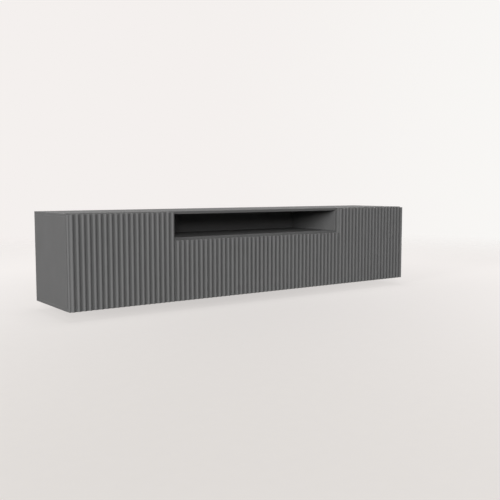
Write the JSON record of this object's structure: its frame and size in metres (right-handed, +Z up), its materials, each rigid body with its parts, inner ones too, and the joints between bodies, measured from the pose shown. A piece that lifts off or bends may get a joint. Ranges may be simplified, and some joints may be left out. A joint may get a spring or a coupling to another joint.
{
  "type": "floating media console",
  "caption": "Wall-hung media console with fluted doors at both ends, a wide fluted drawer and an open niche along the top.",
  "frame": {"origin": "centre of the console's box at the level of its underside", "axes": "+X along the console to the right seen from the front, +Y from the front to the wall, +Z up"},
  "size_m": [2, 0.4, 0.408],
  "materials": {
    "grey_board": "matt dark grey laminate on particle board",
    "grey_fluted_board": "matt dark grey lacquer on fluted fibreboard",
    "grey_hardboard": "matt dark grey hardboard",
    "drawer_board": "matt grey laminated drawer board",
    "beech": "plain beech",
    "zinc_steel": "bright zinc plate",
    "zinc_casting": "cast zinc",
    "screw_steel": "zinc plated",
    "grey_plastic": "moulded",
    "cage_plastic": "moulded"
  },
  "bodies": {
    "carcass": {"top_panel": "grey_board", "bottom_panel": "grey_board", "left_side_panel": "grey_board", "right_side_panel": "grey_board", "left_divider": "grey_board", "right_divider": "grey_board", "niche_shelf": "grey_board", "left_back_panel": "grey_hardboard", "centre_back_panel": "grey_hardboard", "right_back_panel": "grey_hardboard", "left_inner_shelf": "grey_board", "right_inner_shelf": "grey_board", "shelf_pins": "zinc_steel", "cam_locks": "zinc_casting", "cam_bolts": "zinc_steel", "dowels": "beech", "back_panel_screws": "screw_steel", "hinge_plates": "zinc_steel", "hinge_arms": "zinc_steel", "hinge_plate_screws": "screw_steel", "hinge_arm_screws": "screw_steel", "hanger_housings": "grey_plastic", "hanger_hooks": "zinc_steel", "hanger_adjusters": "screw_steel", "hanger_screws": "screw_steel", "wall_rail": "zinc_steel", "latch_housings": "grey_plastic", "latch_screws": "screw_steel", "runner_outer_members": "zinc_steel", "runner_outer_screws": "screw_steel"},
    "left_door": {"left_door": "grey_fluted_board", "left_hinge_cups": "zinc_steel", "left_hinge_pins": "zinc_steel", "left_cup_screws": "screw_steel", "left_door_pad": "zinc_steel"},
    "right_door": {"right_door": "grey_fluted_board", "right_hinge_cups": "zinc_steel", "right_hinge_pins": "zinc_steel", "right_cup_screws": "screw_steel", "right_door_pad": "zinc_steel"},
    "drawer": {"drawer_front": "grey_fluted_board", "drawer_inner_front": "drawer_board", "drawer_back": "drawer_board", "drawer_bottom": "drawer_board", "drawer_left_side": "drawer_board", "drawer_right_side": "drawer_board", "drawer_box_screws": "screw_steel", "drawer_front_screws": "screw_steel", "drawer_pads": "zinc_steel", "runner_inner_members": "zinc_steel", "runner_inner_screws": "screw_steel"},
    "runner_middles": {"runner_middle_members": "zinc_steel"},
    "outer_cages": {"outer_ball_cages": "cage_plastic", "outer_balls": "zinc_steel"},
    "inner_cages": {"inner_ball_cages": "cage_plastic", "inner_balls": "zinc_steel"},
    "left_door_plunger": {"left_door_plunger": "grey_plastic"},
    "right_door_plunger": {"right_door_plunger": "grey_plastic"},
    "left_drawer_plunger": {"left_drawer_plunger": "grey_plastic"},
    "right_drawer_plunger": {"right_drawer_plunger": "grey_plastic"}
  },
  "joints": [
    {"name": "left_door_hinge", "type": "hinge", "parent": "carcass", "child": "left_door", "pos_m": [-0.992, -0.1868, 0.202], "axis": [0, 0, -1], "range_deg": [0, 95]},
    {"name": "right_door_hinge", "type": "hinge", "parent": "carcass", "child": "right_door", "pos_m": [0.992, -0.1868, 0.202], "axis": [0, 0, 1], "range_deg": [0, 95]},
    {"name": "drawer_slide", "type": "slide", "parent": "carcass", "child": "drawer", "axis": [0, -1, 0], "range_m": [0, 0.33]},
    {"name": "middle_member_slide", "type": "slide", "parent": "carcass", "child": "runner_middles", "axis": [0, -1, 0], "range_m": [0, 0.165]},
    {"name": "outer_cage_slide", "type": "slide", "parent": "carcass", "child": "outer_cages", "axis": [0, -1, 0], "range_m": [0, 0.0825]},
    {"name": "inner_cage_slide", "type": "slide", "parent": "carcass", "child": "inner_cages", "axis": [0, -1, 0], "range_m": [0, 0.2475]},
    {"name": "left_door_plunger_slide", "type": "slide", "parent": "carcass", "child": "left_door_plunger", "axis": [0, 1, 0], "range_m": [0, 0.003], "stiffness_N_per_m": 1500},
    {"name": "right_door_plunger_slide", "type": "slide", "parent": "carcass", "child": "right_door_plunger", "axis": [0, 1, 0], "range_m": [0, 0.003], "stiffness_N_per_m": 1500},
    {"name": "left_drawer_plunger_slide", "type": "slide", "parent": "carcass", "child": "left_drawer_plunger", "axis": [0, 1, 0], "range_m": [0, 0.003], "stiffness_N_per_m": 1500},
    {"name": "right_drawer_plunger_slide", "type": "slide", "parent": "carcass", "child": "right_drawer_plunger", "axis": [0, 1, 0], "range_m": [0, 0.003], "stiffness_N_per_m": 1500}
  ],
  "couplings": [
    {"joint": "middle_member_slide", "follows": "drawer_slide", "ratio": 0.5},
    {"joint": "outer_cage_slide", "follows": "drawer_slide", "ratio": 0.25},
    {"joint": "inner_cage_slide", "follows": "drawer_slide", "ratio": 0.75}
  ]
}
